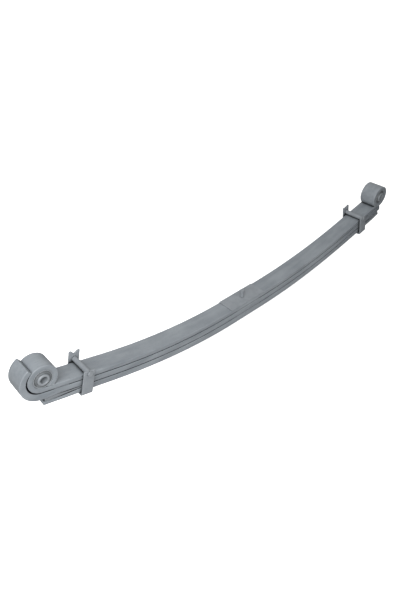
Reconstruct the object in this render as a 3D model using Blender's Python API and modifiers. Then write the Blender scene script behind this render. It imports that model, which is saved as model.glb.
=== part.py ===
"""Three-leaf semi-elliptic leaf spring with rolled eyes, bonded bushes and two rebound clips.

The origin is the centre of the locating head's flat top. +X runs along the spring towards the rear
eye, +Y across its width and +Z up, towards the eyes. Heights along a leaf are given as a depth
below the top face of the main leaf, measured square to that face.
"""

import math

import bmesh
import bpy
from mathutils import Matrix, Vector

# Driving dimensions, in metres
WIDTH = 0.080
GAP = 0.0003

SEAT_HALF = 0.075
TAIL_START = 0.700
FRONT_CAMBER = 0.235  # rise in metres for each square metre of run past the seat
REAR_CAMBER = 0.177
FRONT_EYE_STATION = 0.936
REAR_EYE_STATION = 0.937

MAIN_THICKNESS = 0.018
LEAF_CLEARANCE = 0.003
SECOND_SEAT_THICKNESS = 0.0245
SECOND_END_THICKNESS = 0.0225
SECOND_EYE_THICKNESS = 0.0265  # where the front end bends up round the eye
SECOND_EYE_START = 0.860
SECOND_REAR_END = 0.939
FRONT_THIRD_END = 0.929
REAR_THIRD_END = 0.928

EYE_BORE = 0.0345
EYE_SLOT = 0.0025
WRAP_END_ANGLE = math.radians(133)
WRAP_SWELL = 0.003  # added between the eye and the wrap halfway round
WRAP_CLOSING = 0.0027  # taken from that space at the wrap's end
WRAP_END_THICKNESS = 0.019

PLATE_HALF_LENGTH = 0.097
PLATE_THICKNESS = 0.003
PLATE_BEVEL = 0.0015
SEAT_LINER_HALF_LENGTH = 0.070
SEAT_LINER_INSET = 0.001

HEAD_RADIUS = 0.008
HEAD_HEIGHT = 0.011
SHANK_RADIUS = 0.006
SHANK_HOLE_RADIUS = 0.0065
NUT_RADIUS = 0.0125
NUT_HEIGHT = 0.011
SPOT_FACE_RADIUS = 0.0135
SPOT_FACE_DEPTH = 0.0005
BOLT_PAST_NUT = 0.003
FASTENER_EDGE = 0.001

CLIP_STATION = 0.782
STRAP_WIDTH = 0.042
STRAP_THICKNESS = 0.006
STRAP_NEAR_HALF = 0.050  # from the middle of the leaf to the inside of each arm
STRAP_FAR_HALF = 0.045
STRAP_CORNER = 0.006
STRAP_DROP = 0.0025  # clearance between the third leaf and the strap
FAR_EAR_TOP = 0.041
NEAR_EAR_TOP = 0.0215
FAR_EAR_NOTCH = 0.012
NEAR_EAR_NOTCH = 0.003
CLIP_BOLT_HEIGHT = 0.0115
CLIP_BOLT_RADIUS = 0.005
CLIP_HEAD_RADIUS = 0.0095
CLIP_HEAD_HEIGHT = 0.006
TUBE_RADIUS = 0.0095
RIVET_RADIUS = 0.005
RIVET_HEAD_RADIUS = 0.009
RIVET_HEAD_HEIGHT = 0.0035
RIVET_RIM_SHARE = 0.3  # of the head's height, straight before it tapers
RIVET_CROWN_SHARE = 0.6  # of the head's radius, left flat on top
RIVET_REACH = 0.012

OUTER_SLEEVE_WALL = 0.003
INNER_SLEEVE_RADIUS = 0.021
INNER_SLEEVE_BORE = 0.0125
INNER_SLEEVE_HALF = 0.0455
INNER_SLEEVE_RIM = 0.003
OUTER_SLEEVE_INSET = 0.001
OUTER_SLEEVE_EDGE = 0.001
RUBBER_HALF = 0.0385

LINER_PIN_RADIUS = 0.004
LINER_PIN_REACH = 0.006
LINER_PIN_COVER = 0.001  # depth of the pin's end below the liner's top
TIP_LINER_INSET = 0.0005
UPPER_LINER_STATIONS = (0.845, 0.895)
UPPER_LINER_PIN = 0.870
LOWER_LINER_STATIONS = (0.768, 0.924)
LOWER_LINER_PIN = 0.912
LOWER_LINER_TOP_EASE = ((0.77, 0.84, 0.90), (0.0, 0.003, 0.0))
LOWER_LINER_BOTTOM_EASE = ((0.77, 0.85, 0.905), (0.0, 0.005, 0.0))

# Derived dimensions
HALF_WIDTH = WIDTH / 2
STRAP_NEAR_FACE = -(STRAP_NEAR_HALF + STRAP_THICKNESS)
STRAP_FAR_FACE = STRAP_FAR_HALF + STRAP_THICKNESS
EYE_OUTER = EYE_BORE + MAIN_THICKNESS
SECOND_TOP = MAIN_THICKNESS + LEAF_CLEARANCE
MAIN_TOP_Z = -(HEAD_HEIGHT + PLATE_THICKNESS + GAP)
ARC_STEP = math.radians(7.5)
STATION_STEP = 0.040
SEAT_MARGIN = 0.004  # no station lies nearer than this past the flat seat
WELD = 0.00001
ACROSS = (0, 1, 0)
UPWARD = (0, 0, 1)

# Depths of the third leaf's two faces against distance from the centre: seat, clip, end of the
# taper, tip
THIRD_STATIONS = (0.100, 0.735, 0.875, 0.930)
THIRD_TOP = {-1: (0.0485, 0.0465, 0.0600, 0.0600), 1: (0.0485, 0.0465, 0.0555, 0.0555)}
THIRD_BOTTOM = {-1: (0.0760, 0.0705, 0.0735, 0.0735), 1: (0.0760, 0.0705, 0.0700, 0.0660)}
SEAT_BASE = MAIN_TOP_Z - THIRD_BOTTOM[1][0]  # height of the third leaf's lower face at the seat
LONG_CUT = 0.3  # length of a cutter that passes right through

PAINT = ("grey_paint", (0.30, 0.32, 0.34), 0.45, 0.3)
RUBBER = ("bush_rubber", (0.12, 0.12, 0.13), 0.80, 0.0)
LINER = ("liner_grey", (0.26, 0.27, 0.28), 0.60, 0.0)


def clear_scene():
    for obj in list(bpy.data.objects):
        bpy.data.objects.remove(obj, do_unlink=True)


def new_collection(name, shown):
    collection = bpy.data.collections.new(name)
    bpy.context.scene.collection.children.link(collection)
    collection.hide_render = not shown
    return collection


def material(spec):
    name, colour, roughness, metallic = spec
    made = bpy.data.materials.get(name)
    if made is None:
        made = bpy.data.materials.new(name)
        made.use_nodes = True
        shader = made.node_tree.nodes["Principled BSDF"]
        shader.inputs["Base Color"].default_value = (*colour, 1.0)
        shader.inputs["Roughness"].default_value = roughness
        shader.inputs["Metallic"].default_value = metallic
    return made


def eased(stations, values, run):
    """Value at a distance from the centre, passing smoothly from each given station to the next."""
    if run <= stations[0]:
        return values[0]
    for i in range(1, len(stations)):
        if run <= stations[i]:
            share = (run - stations[i - 1]) / (stations[i] - stations[i - 1])
            share = share * share * (3 - 2 * share)
            return values[i - 1] + (values[i] - values[i - 1]) * share
    return values[-1]


def camber_of(x):
    return FRONT_CAMBER if x < 0 else REAR_CAMBER


def rise(x):
    """Height of the main leaf's top face: a flat seat, a parabola, then a straight tail."""
    run = max(abs(x) - SEAT_HALF, 0)
    bend = TAIL_START - SEAT_HALF
    if run <= bend:
        return camber_of(x) * run**2
    return camber_of(x) * (bend**2 + 2 * bend * (run - bend))


def slope(x):
    run = min(max(abs(x) - SEAT_HALF, 0), TAIL_START - SEAT_HALF)
    return math.copysign(2 * camber_of(x) * run, x)


def at_depth(x, depth):
    """(x, z) of the point this far below the main leaf's top face, square to it."""
    grade = slope(x)
    length = math.hypot(1, grade)
    return x + depth * grade / length, MAIN_TOP_Z + rise(x) - depth / length


def outward(side):
    """Unit (x, z) directions of a tail: along it away from the centre, and square to it upwards."""
    grade = slope(side * TAIL_START)
    length = math.hypot(1, grade)
    return (side / length, side * grade / length), (-grade / length, 1 / length)


def tail_point(side, station, along, up):
    """(x, z) of a point given along and above the main leaf's top face at a tail station."""
    run, rising = outward(side)
    x, z = at_depth(side * station, 0)
    return x + along * run[0] + up * rising[0], z + along * run[1] + up * rising[1]


def eye_centre(side):
    station = FRONT_EYE_STATION if side < 0 else REAR_EYE_STATION
    return tail_point(side, station, 0, EYE_BORE)


def eye_point(side, radius, angle):
    """A point round the eye. The angle starts straight below the centre and turns outwards."""
    centre = eye_centre(side)
    run, rising = outward(side)
    along = radius * math.sin(angle)
    up = -radius * math.cos(angle)
    return centre[0] + along * run[0] + up * rising[0], centre[1] + along * run[1] + up * rising[1]


def eye_arc(side, radius, start, end):
    count = max(2, math.ceil(abs(end - start) / ARC_STEP))
    return [eye_point(side, radius, start + (end - start) * i / count) for i in range(count + 1)]


def stations_between(first, last):
    """Stations along the spring: none within the flat seat, and one at each edge of it."""
    count = math.ceil((last - first) / STATION_STEP)
    spaced = [first + (last - first) * i / count for i in range(count + 1)]
    found = [x for x in spaced if abs(x) > SEAT_HALF + SEAT_MARGIN]
    found += [x for x in (-SEAT_HALF, SEAT_HALF) if first < x < last]
    return sorted(found)


def face_line(first, last, depth_of):
    return [at_depth(x, depth_of(x)) for x in stations_between(first, last)]


def main_outline():
    """Side outline of the main leaf: both faces, and each end rolled up and over into an eye."""
    first, last = -FRONT_EYE_STATION, REAR_EYE_STATION
    cut = EYE_BORE - EYE_SLOT  # the roll ends just above the leaf, on a cut level with it
    outer_end = 2 * math.pi - math.acos(cut / EYE_OUTER)
    inner_end = 2 * math.pi - math.acos(cut / EYE_BORE)
    bottom = face_line(first, last, lambda x: MAIN_THICKNESS)
    top = face_line(first, last, lambda x: 0)
    return (
        bottom[::-1]
        + eye_arc(-1, EYE_OUTER, 0, outer_end)[1:]
        + eye_arc(-1, EYE_BORE, inner_end, 0)[:-1]
        + top
        + eye_arc(1, EYE_BORE, 0, inner_end)[1:]
        + eye_arc(1, EYE_OUTER, outer_end, 0)[:-1]
    )


def second_bottom(x):
    """Depth of the second leaf's lower face. It thickens again where it bends up round the eye."""
    values = [SECOND_SEAT_THICKNESS, SECOND_END_THICKNESS, SECOND_END_THICKNESS, SECOND_EYE_THICKNESS]
    if x > 0:
        values[-1] = SECOND_END_THICKNESS
    stations = (THIRD_STATIONS[0], TAIL_START, SECOND_EYE_START, FRONT_EYE_STATION)
    return SECOND_TOP + eased(stations, values, abs(x))


def wrap_arcs():
    """The wrap's two faces, from below the eye to its end.

    It swells away from the eye, then closes on it, and thins on the way.
    """
    inner = []
    outer = []
    count = math.ceil(WRAP_END_ANGLE / ARC_STEP)
    for i in range(count + 1):
        share = i / count
        radius = EYE_BORE + SECOND_TOP + WRAP_SWELL * math.sin(math.pi * share)
        radius -= WRAP_CLOSING * share**2
        thickness = SECOND_EYE_THICKNESS + (WRAP_END_THICKNESS - SECOND_EYE_THICKNESS) * share
        inner.append(eye_point(-1, radius, WRAP_END_ANGLE * share))
        outer.append(eye_point(-1, radius + thickness, WRAP_END_ANGLE * share))
    return inner, outer


def second_outline():
    """Side outline of the second leaf: plain at the rear, wrapped round the eye at the front."""
    first, last = -FRONT_EYE_STATION, SECOND_REAR_END
    inner, outer = wrap_arcs()
    bottom = face_line(first, last, second_bottom)
    top = face_line(first, last, lambda x: SECOND_TOP)
    return bottom[::-1] + outer[1:] + inner[:0:-1] + top


def third_top(x):
    return eased(THIRD_STATIONS, THIRD_TOP[-1 if x < 0 else 1], abs(x))


def third_bottom(x):
    return eased(THIRD_STATIONS, THIRD_BOTTOM[-1 if x < 0 else 1], abs(x))


def third_outline():
    first, last = -FRONT_THIRD_END, REAR_THIRD_END
    return face_line(first, last, third_bottom)[::-1] + face_line(first, last, third_top)


def outline_solid(name, outline, low, high, spec, collection):
    """A side outline, given as (x, z) points, made solid from one width to the other."""
    curve = bpy.data.curves.new(name, "CURVE")
    curve.dimensions = "2D"
    curve.fill_mode = "BOTH"
    curve.extrude = (high - low) / 2
    spline = curve.splines.new("POLY")
    spline.points.add(len(outline) - 1)
    spline.use_cyclic_u = True
    for point, (x, z) in zip(spline.points, outline):
        point.co = (x, z, 0, 1)
    upright = Matrix.Translation((0, (low + high) / 2, 0)) @ Matrix.Rotation(math.pi / 2, 4, "X")
    return meshed(name, curve, upright, spec, collection)


def meshed(name, curve, matrix, spec, collection):
    """The curve as a welded mesh object of the same name and place."""
    guide = bpy.data.objects.new(name + "_curve", curve)
    bpy.context.scene.collection.objects.link(guide)
    graph = bpy.context.evaluated_depsgraph_get()
    mesh = bpy.data.meshes.new_from_object(guide.evaluated_get(graph))
    bpy.data.objects.remove(guide, do_unlink=True)
    bpy.data.curves.remove(curve)
    shape = bmesh.new()
    shape.from_mesh(mesh)
    bmesh.ops.remove_doubles(shape, verts=shape.verts, dist=WELD)
    bmesh.ops.recalc_face_normals(shape, faces=shape.faces)
    shape.to_mesh(mesh)
    shape.free()
    mesh.name = name
    obj = bpy.data.objects.new(name, mesh)
    obj.matrix_world = matrix
    finish(obj, spec, collection)
    return obj


def finish(obj, spec, collection):
    collection.objects.link(obj)
    obj.data.materials.clear()
    obj.data.materials.append(material(spec))
    obj.data.shade_smooth()
    obj.data.set_sharp_from_angle(angle=math.radians(30))


def turned(name, profile, place, direction, spec, collection, sides=32):
    """A profile of (radius, height) points turned about an axis along the given direction.

    It runs down its outer side. One that leaves the axis ends on it, and any other is a closed ring.
    """
    count = len(profile)
    edges = [(i, i + 1) for i in range(count - 1)]
    if profile[0][0] > 0:
        edges.append((count - 1, 0))
    mesh = bpy.data.meshes.new(name)
    mesh.from_pydata([(radius, 0, height) for radius, height in profile], edges, [])
    obj = bpy.data.objects.new(name, mesh)
    obj.matrix_world = standing(place, direction)
    screw = obj.modifiers.new("turn", "SCREW")
    screw.angle = 2 * math.pi
    screw.steps = sides
    screw.render_steps = sides
    screw.use_merge_vertices = True
    screw.merge_threshold = WELD
    finish(obj, spec, collection)
    return obj


def standing(place, direction):
    """Matrix that stands an object's Z axis along the direction, with its origin at the place."""
    turn = Vector(UPWARD).rotation_difference(Vector(direction))
    return Matrix.Translation(place) @ turn.to_matrix().to_4x4()


def cylinder(name, radius, length, place, direction, collection, sides=32):
    """A plain cylinder centred on its place, used as a cutter."""
    mesh = bpy.data.meshes.new(name)
    shape = bmesh.new()
    bmesh.ops.create_cone(
        shape, cap_ends=True, segments=sides, radius1=radius, radius2=radius, depth=length
    )
    shape.to_mesh(mesh)
    shape.free()
    obj = bpy.data.objects.new(name, mesh)
    obj.matrix_world = standing(place, direction)
    obj.hide_render = True
    obj.display_type = "WIRE"
    collection.objects.link(obj)
    return obj


def cut(obj, cutter):
    boolean = obj.modifiers.new(cutter.name, "BOOLEAN")
    boolean.operation = "DIFFERENCE"
    boolean.solver = "EXACT"
    boolean.object = cutter


def box_outline(x, z_low, z_high):
    return [(-x, z_low), (x, z_low), (x, z_high), (-x, z_high)]


def add_leaves(parts, cutters):
    main = outline_solid("main_leaf", main_outline(), -HALF_WIDTH, HALF_WIDTH, PAINT, parts)
    second = outline_solid("second_leaf", second_outline(), -HALF_WIDTH, HALF_WIDTH, PAINT, parts)
    third = outline_solid("third_leaf", third_outline(), -HALF_WIDTH, HALF_WIDTH, PAINT, parts)
    hole = cylinder("centre_hole", SHANK_HOLE_RADIUS, LONG_CUT, (0, 0, SEAT_BASE), UPWARD, cutters)
    spot_place = (0, 0, SEAT_BASE)
    spot = cylinder("spot_face", SPOT_FACE_RADIUS, 2 * SPOT_FACE_DEPTH, spot_place, UPWARD, cutters)
    for leaf in (main, second, third):
        cut(leaf, hole)
    cut(third, spot)
    return second, third, hole


def add_seat(parts, cutters, hole):
    """The centre plate and the liners between the leaves."""
    plate_base = MAIN_TOP_Z + GAP
    plate_top = plate_base + PLATE_THICKNESS
    plate = [
        (-PLATE_HALF_LENGTH, plate_base),
        (PLATE_HALF_LENGTH, plate_base),
        (PLATE_HALF_LENGTH, plate_top - PLATE_BEVEL),
        (PLATE_HALF_LENGTH - PLATE_BEVEL, plate_top),
        (-PLATE_HALF_LENGTH + PLATE_BEVEL, plate_top),
        (-PLATE_HALF_LENGTH, plate_top - PLATE_BEVEL),
    ]
    # The ends of the plate lie past the flat seat, so they follow the leaf's slight rise.
    lifted = [(x, z + rise(x)) for x, z in plate]
    mid = [(x, plate_base) for x in (-SEAT_HALF, SEAT_HALF)]
    mid_top = [(x, plate_top) for x in (SEAT_HALF, -SEAT_HALF)]
    outline = lifted[:1] + mid + lifted[1:4] + mid_top + lifted[4:]
    plate = outline_solid("centre_plate", outline, -HALF_WIDTH, HALF_WIDTH, PAINT, parts)
    cut(plate, cylinder("head_hole", HEAD_RADIUS + GAP, LONG_CUT, (0, 0, 0), UPWARD, cutters))
    inset = HALF_WIDTH - SEAT_LINER_INSET
    for name, top, bottom in (
        ("upper_seat_liner", MAIN_THICKNESS, SECOND_TOP),
        ("lower_seat_liner", SECOND_TOP + SECOND_SEAT_THICKNESS, THIRD_TOP[1][0]),
    ):
        outline = box_outline(
            SEAT_LINER_HALF_LENGTH, MAIN_TOP_Z - bottom + GAP, MAIN_TOP_Z - top - GAP
        )
        cut(outline_solid(name, outline, -inset, inset, LINER, parts), hole)


def add_centre_bolt(parts):
    """The bolt that clamps the leaves. Its round head passes through the plate to the main leaf."""
    nut_top = SEAT_BASE + SPOT_FACE_DEPTH - GAP
    nut_base = nut_top - NUT_HEIGHT
    bolt_end = nut_base - BOLT_PAST_NUT
    shoulder = MAIN_TOP_Z + GAP
    profile = [
        (0, 0),
        (HEAD_RADIUS - FASTENER_EDGE, 0),
        (HEAD_RADIUS, -FASTENER_EDGE),
        (HEAD_RADIUS, shoulder),
        (SHANK_RADIUS, shoulder),
        (SHANK_RADIUS, bolt_end + FASTENER_EDGE),
        (SHANK_RADIUS - FASTENER_EDGE, bolt_end),
        (0, bolt_end),
    ]
    turned("centre_bolt", profile, (0, 0, 0), UPWARD, PAINT, parts)
    nut = [
        (SHANK_RADIUS + GAP, nut_top),
        (NUT_RADIUS, nut_top),
        (NUT_RADIUS, nut_base + FASTENER_EDGE),
        (NUT_RADIUS - FASTENER_EDGE, nut_base),
        (SHANK_RADIUS + GAP, nut_base),
    ]
    turned("centre_nut", nut, (0, 0, 0), UPWARD, PAINT, parts, sides=24)


def strap_outline(height_low):
    """Front view of a U strap as (y, height) points: a short arm near, a tall one far."""
    near, far = STRAP_NEAR_FACE, STRAP_FAR_FACE
    corner = STRAP_CORNER + STRAP_THICKNESS
    turns = [math.radians(step * 15) for step in range(7)]
    base = height_low + corner
    points = [(near, NEAR_EAR_TOP)]
    points += [(near + corner - corner * math.cos(a), base - corner * math.sin(a)) for a in turns]
    points += [(far - corner + corner * math.sin(a), base - corner * math.cos(a)) for a in turns]
    points += [(far, FAR_EAR_TOP), (STRAP_FAR_HALF, FAR_EAR_TOP)]
    near, far = -STRAP_NEAR_HALF, STRAP_FAR_HALF
    corner = STRAP_CORNER
    points += [(far - corner + corner * math.cos(a), base - corner * math.sin(a)) for a in turns]
    points += [(near + corner - corner * math.sin(a), base - corner * math.cos(a)) for a in turns]
    points += [(near, NEAR_EAR_TOP)]
    return points


def clip_frame(side):
    """Matrix from the clip's own frame (along the leaf, across it, square to it) to the world."""
    run, rising = outward(side)
    x, z = at_depth(side * CLIP_STATION, 0)
    frame = Matrix.Identity(4)
    frame.col[0][:3] = (run[0] * side, 0, run[1] * side)
    frame.col[1][:3] = (0, 1, 0)
    frame.col[2][:3] = (rising[0], 0, rising[1])
    frame.col[3][:3] = (x, 0, z)
    return frame


def add_clip(side, name, parts, cutters):
    """A rebound clip: a riveted U strap with fishtail ears, a cross bolt, its tube and its nut."""
    frame = clip_frame(side)
    strap_low = -(third_bottom(CLIP_STATION * side) + STRAP_THICKNESS + STRAP_DROP)
    curve = bpy.data.curves.new(name + "_strap", "CURVE")
    curve.dimensions = "2D"
    curve.fill_mode = "BOTH"
    curve.extrude = STRAP_WIDTH / 2
    spline = curve.splines.new("POLY")
    outline = strap_outline(strap_low)
    spline.points.add(len(outline) - 1)
    spline.use_cyclic_u = True
    for point, (y, height) in zip(spline.points, outline):
        point.co = (y, height, 0, 1)
    upright = frame @ Matrix(((0, 0, 1, 0), (1, 0, 0, 0), (0, 1, 0, 0), (0, 0, 0, 1)))
    strap = meshed(name + "_strap", curve, upright, PAINT, parts)
    bolt_at = frame @ Vector((0, 0, CLIP_BOLT_HEIGHT))
    radius = CLIP_BOLT_RADIUS + GAP
    cut(strap, cylinder(name + "_bolt_hole", radius, LONG_CUT, bolt_at, ACROSS, cutters, sides=24))
    for ear, y, height, depth in (
        ("near", -HALF_WIDTH, NEAR_EAR_TOP, NEAR_EAR_NOTCH),
        ("far", HALF_WIDTH, FAR_EAR_TOP, FAR_EAR_NOTCH),
    ):
        notch_at = frame @ Vector((0, y, height))
        cut(strap, notch_cutter(f"{name}_{ear}_notch", notch_at, depth, frame, cutters))
    up = tuple(frame.col[2][:3])
    low_at = frame @ Vector((0, 0, strap_low))
    radius = RIVET_RADIUS + GAP
    reach = 2 * (RIVET_REACH + GAP)
    rivet_hole = cylinder(name + "_rivet_hole", radius, reach, low_at, up, cutters, sides=24)
    cut(strap, rivet_hole)
    add_clip_fasteners(name, frame, bolt_at, strap_low, parts)
    return rivet_hole


def notch_cutter(name, place, depth, frame, cutters):
    """A square bar turned on its edge, which leaves a V between the two points of an ear."""
    mesh = bpy.data.meshes.new(name)
    shape = bmesh.new()
    bmesh.ops.create_cube(shape, size=1)
    side = depth * math.sqrt(2)
    bmesh.ops.scale(shape, vec=(side, HALF_WIDTH, side), verts=shape.verts)
    bmesh.ops.rotate(shape, matrix=Matrix.Rotation(math.pi / 4, 3, "Y"), verts=shape.verts)
    shape.to_mesh(mesh)
    shape.free()
    obj = bpy.data.objects.new(name, mesh)
    obj.matrix_world = Matrix.Translation(place) @ frame.to_3x3().to_4x4()
    obj.hide_render = True
    obj.display_type = "WIRE"
    cutters.objects.link(obj)
    return obj


def add_clip_fasteners(name, frame, bolt_at, strap_low, parts):
    head_face = STRAP_NEAR_FACE - GAP
    head_end = head_face - CLIP_HEAD_HEIGHT
    nut_face = STRAP_FAR_FACE + GAP
    nut_end = nut_face + CLIP_HEAD_HEIGHT
    bolt_end = nut_end + BOLT_PAST_NUT
    bolt = [
        (0, bolt_end),
        (CLIP_BOLT_RADIUS - FASTENER_EDGE, bolt_end),
        (CLIP_BOLT_RADIUS, bolt_end - FASTENER_EDGE),
        (CLIP_BOLT_RADIUS, head_face),
        (CLIP_HEAD_RADIUS, head_face),
        (CLIP_HEAD_RADIUS, head_end + FASTENER_EDGE),
        (CLIP_HEAD_RADIUS - FASTENER_EDGE, head_end),
        (0, head_end),
    ]
    turned(name + "_bolt", bolt, bolt_at, ACROSS, PAINT, parts, sides=24)
    nut = [
        (CLIP_BOLT_RADIUS + GAP, nut_end),
        (CLIP_HEAD_RADIUS - FASTENER_EDGE, nut_end),
        (CLIP_HEAD_RADIUS, nut_end - FASTENER_EDGE),
        (CLIP_HEAD_RADIUS, nut_face),
        (CLIP_BOLT_RADIUS + GAP, nut_face),
    ]
    turned(name + "_nut", nut, bolt_at, ACROSS, PAINT, parts, sides=24)
    tube_far = STRAP_FAR_HALF - GAP
    tube_near = -STRAP_NEAR_HALF + GAP
    tube = [
        (CLIP_BOLT_RADIUS + GAP, tube_far),
        (TUBE_RADIUS, tube_far),
        (TUBE_RADIUS, tube_near),
        (CLIP_BOLT_RADIUS + GAP, tube_near),
    ]
    turned(name + "_spacer_tube", tube, bolt_at, ACROSS, PAINT, parts, sides=24)
    rivet_face = strap_low - GAP
    rivet_top = strap_low + RIVET_REACH
    rivet = [
        (0, rivet_top),
        (RIVET_RADIUS, rivet_top),
        (RIVET_RADIUS, rivet_face),
        (RIVET_HEAD_RADIUS, rivet_face),
        (RIVET_HEAD_RADIUS, rivet_face - RIVET_HEAD_HEIGHT * RIVET_RIM_SHARE),
        (RIVET_HEAD_RADIUS * RIVET_CROWN_SHARE, rivet_face - RIVET_HEAD_HEIGHT),
        (0, rivet_face - RIVET_HEAD_HEIGHT),
    ]
    place = tuple(frame.col[3][:3])
    turned(name + "_rivet", rivet, place, tuple(frame.col[2][:3]), PAINT, parts, sides=24)


def add_bush(side, name, parts):
    """A bonded bush: outer sleeve, rubber and the inner sleeve that turns with the bolt."""
    x, z = eye_centre(side)
    place = (x, 0, z)
    outer = EYE_BORE - GAP
    outer_half = HALF_WIDTH - OUTER_SLEEVE_INSET
    wall = outer - OUTER_SLEEVE_WALL
    sleeve = [
        (wall, outer_half),
        (outer - OUTER_SLEEVE_EDGE, outer_half),
        (outer, outer_half - OUTER_SLEEVE_EDGE),
        (outer, -outer_half + OUTER_SLEEVE_EDGE),
        (outer - OUTER_SLEEVE_EDGE, -outer_half),
        (wall, -outer_half),
    ]
    turned(name + "_bush_outer_sleeve", sleeve, place, ACROSS, PAINT, parts, sides=48)
    rubber = [
        (INNER_SLEEVE_RADIUS + GAP, RUBBER_HALF),
        (wall - GAP, RUBBER_HALF),
        (wall - GAP, -RUBBER_HALF),
        (INNER_SLEEVE_RADIUS + GAP, -RUBBER_HALF),
    ]
    turned(name + "_bush_rubber", rubber, place, ACROSS, RUBBER, parts, sides=48)
    core = [
        (INNER_SLEEVE_BORE, INNER_SLEEVE_HALF),
        (INNER_SLEEVE_RADIUS - INNER_SLEEVE_RIM, INNER_SLEEVE_HALF),
        (INNER_SLEEVE_RADIUS, INNER_SLEEVE_HALF - INNER_SLEEVE_RIM),
        (INNER_SLEEVE_RADIUS, -INNER_SLEEVE_HALF + INNER_SLEEVE_RIM),
        (INNER_SLEEVE_RADIUS - INNER_SLEEVE_RIM, -INNER_SLEEVE_HALF),
        (INNER_SLEEVE_BORE, -INNER_SLEEVE_HALF),
    ]
    turned(name + "_bush_inner_sleeve", core, place, ACROSS, PAINT, parts, sides=48)


def liner_outline(side, stations, top_of, bottom_of):
    """A tip liner's side outline, a hair clear of the leaf faces above and below it."""
    first, last = sorted((side * stations[0], side * stations[1]))
    upper = face_line(first, last, lambda x: top_of(x) + GAP)
    lower = face_line(first, last, lambda x: bottom_of(x) - GAP)
    return lower[::-1] + upper


def lower_liner_top(x):
    """The lower liner hangs clear of the second leaf between the clip and the tip."""
    return second_bottom(x) + eased(*LOWER_LINER_TOP_EASE, abs(x))


def lower_liner_bottom(x):
    return third_top(x) - eased(*LOWER_LINER_BOTTOM_EASE, abs(x))


def add_liners(side, name, leaves, parts, cutters):
    """The pads between the leaf tips, each held by a pin set into the leaf below it."""
    second, third = leaves
    upper = (UPPER_LINER_STATIONS, UPPER_LINER_PIN, lambda x: MAIN_THICKNESS, lambda x: SECOND_TOP)
    lower = (LOWER_LINER_STATIONS, LOWER_LINER_PIN, lower_liner_top, lower_liner_bottom)
    inset = HALF_WIDTH - TIP_LINER_INSET
    up_x, up_z = outward(side)[1]
    up = (up_x, 0, up_z)
    for level, layout, leaf in (("upper", upper, second), ("lower", lower, third)):
        stations, pin_station, top_of, bottom_of = layout
        outline = liner_outline(side, stations, top_of, bottom_of)
        liner = outline_solid(f"{name}_{level}_tip_liner", outline, -inset, inset, LINER, parts)
        x = side * pin_station
        pin_top = top_of(x) + LINER_PIN_COVER
        reach = bottom_of(x) - pin_top + LINER_PIN_REACH
        profile = [(0, 0), (LINER_PIN_RADIUS, 0), (LINER_PIN_RADIUS, -reach), (0, -reach)]
        pin_x, pin_z = at_depth(x, pin_top)
        place = (pin_x, 0, pin_z)
        turned(f"{name}_{level}_liner_pin", profile, place, up, PAINT, parts, sides=16)
        radius = LINER_PIN_RADIUS + GAP
        length = 2 * (reach + GAP)
        hole = cylinder(f"{name}_{level}_pin_hole", radius, length, place, up, cutters, sides=16)
        cut(liner, hole)
        cut(leaf, hole)


def build():
    clear_scene()
    parts = new_collection("leaf_spring", True)
    cutters = new_collection("cutters", False)
    second, third, hole = add_leaves(parts, cutters)
    add_seat(parts, cutters, hole)
    add_centre_bolt(parts)
    for side, name in ((-1, "front"), (1, "rear")):
        cut(third, add_clip(side, name + "_clip", parts, cutters))
        add_liners(side, name, (second, third), parts, cutters)
        add_bush(side, name, parts)


build()
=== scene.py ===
import math

import bmesh
import bpy
import numpy as np
from mathutils import Matrix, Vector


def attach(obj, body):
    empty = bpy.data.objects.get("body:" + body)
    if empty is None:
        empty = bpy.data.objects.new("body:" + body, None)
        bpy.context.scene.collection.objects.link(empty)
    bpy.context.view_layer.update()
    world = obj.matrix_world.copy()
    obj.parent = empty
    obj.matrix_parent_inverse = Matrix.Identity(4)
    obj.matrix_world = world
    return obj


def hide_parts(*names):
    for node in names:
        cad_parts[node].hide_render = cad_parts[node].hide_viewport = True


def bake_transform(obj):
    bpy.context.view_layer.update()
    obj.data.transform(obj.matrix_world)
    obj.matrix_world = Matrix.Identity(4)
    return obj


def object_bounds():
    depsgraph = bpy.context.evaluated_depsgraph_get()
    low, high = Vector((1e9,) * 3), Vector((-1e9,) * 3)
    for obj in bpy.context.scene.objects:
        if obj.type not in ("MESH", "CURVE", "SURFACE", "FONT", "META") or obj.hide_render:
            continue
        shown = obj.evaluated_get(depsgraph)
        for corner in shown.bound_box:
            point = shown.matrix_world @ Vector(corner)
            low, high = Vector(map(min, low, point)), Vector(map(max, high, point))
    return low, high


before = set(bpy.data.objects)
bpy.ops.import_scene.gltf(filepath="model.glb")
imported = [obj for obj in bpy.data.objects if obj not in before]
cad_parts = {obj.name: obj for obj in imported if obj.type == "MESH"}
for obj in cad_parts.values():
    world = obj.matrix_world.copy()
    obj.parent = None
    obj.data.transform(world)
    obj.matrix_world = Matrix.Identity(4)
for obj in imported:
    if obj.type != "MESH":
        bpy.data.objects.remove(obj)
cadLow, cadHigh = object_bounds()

# Everything is in metres. +X runs towards the rear eye, +Y across the spring, +Z up.
springShape = {
    "halfWidth": 0.040,
    "topZ": -0.0143,  # top face of the main leaf at the seat
    "seatHalf": 0.075,  # half length of the flat seat
    "tailStart": 0.700,  # the leaf is straight from here out
    "frontCamber": 0.235,  # rise for each square metre of run past the seat
    "rearCamber": 0.177,
    "frontEye": 0.936,  # stations of the eyes along the top face
    "rearEye": 0.937,
    "boreRadius": 0.0345,
    "gap": 0.0003,
}


def topRise(x):
    # flat over the seat, then camber times run squared, then the tangent of that curve
    camber = np.where(x < 0, springShape["frontCamber"], springShape["rearCamber"])
    run = np.maximum(np.abs(x) - springShape["seatHalf"], 0)
    bend = springShape["tailStart"] - springShape["seatHalf"]
    return camber * np.where(run <= bend, run**2, bend**2 + 2 * bend * (run - bend))


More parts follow.
